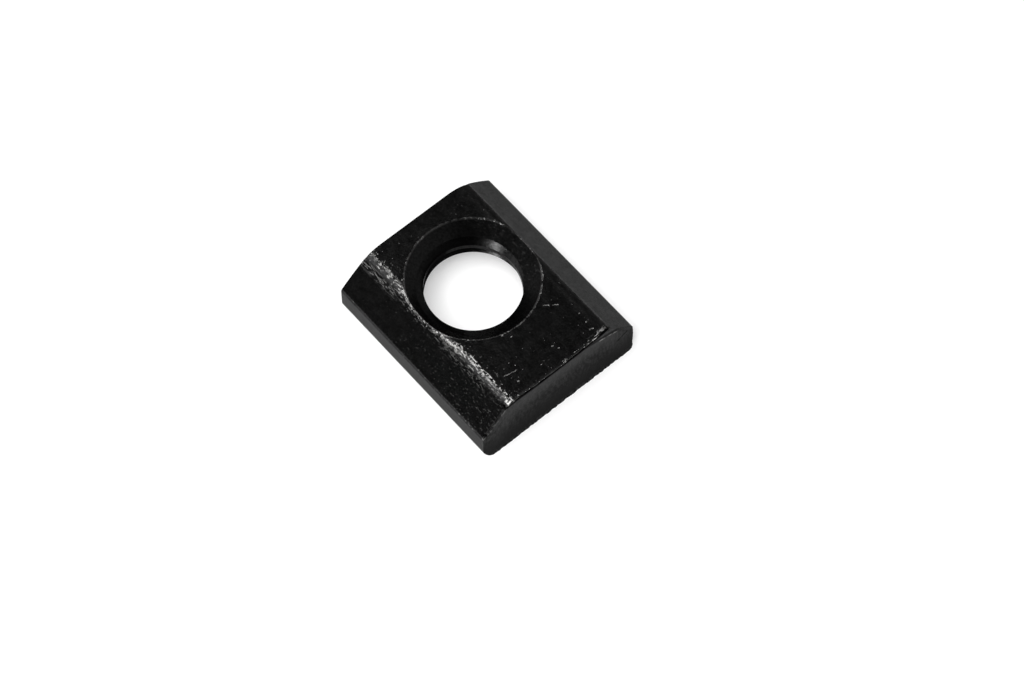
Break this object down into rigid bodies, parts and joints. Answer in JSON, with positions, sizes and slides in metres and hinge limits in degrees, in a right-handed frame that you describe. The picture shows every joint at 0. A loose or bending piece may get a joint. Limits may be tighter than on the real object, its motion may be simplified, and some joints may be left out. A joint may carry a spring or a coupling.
{
  "type": "slide-in t-slot nut",
  "caption": "Slide-in tee nut: flat top, sloping flanks, upright side walls and a countersunk tapped hole set off centre, in black steel.",
  "frame": {"origin": "centre of the flat underside, halfway along the length and across the width", "axes": "+X along the slot towards the front end, the one further from the hole; +Y across the slot; +Z out of the slot's mouth, along the thread"},
  "size_m": [0.0154, 0.0132, 0.0044],
  "materials": {
    "black_steel": "drawn steel with a black oxide finish, satin, worn bright along one ridge and the front edge"
  },
  "bodies": {
    "root": {"nut_body": "black_steel"}
  },
  "joints": []
}
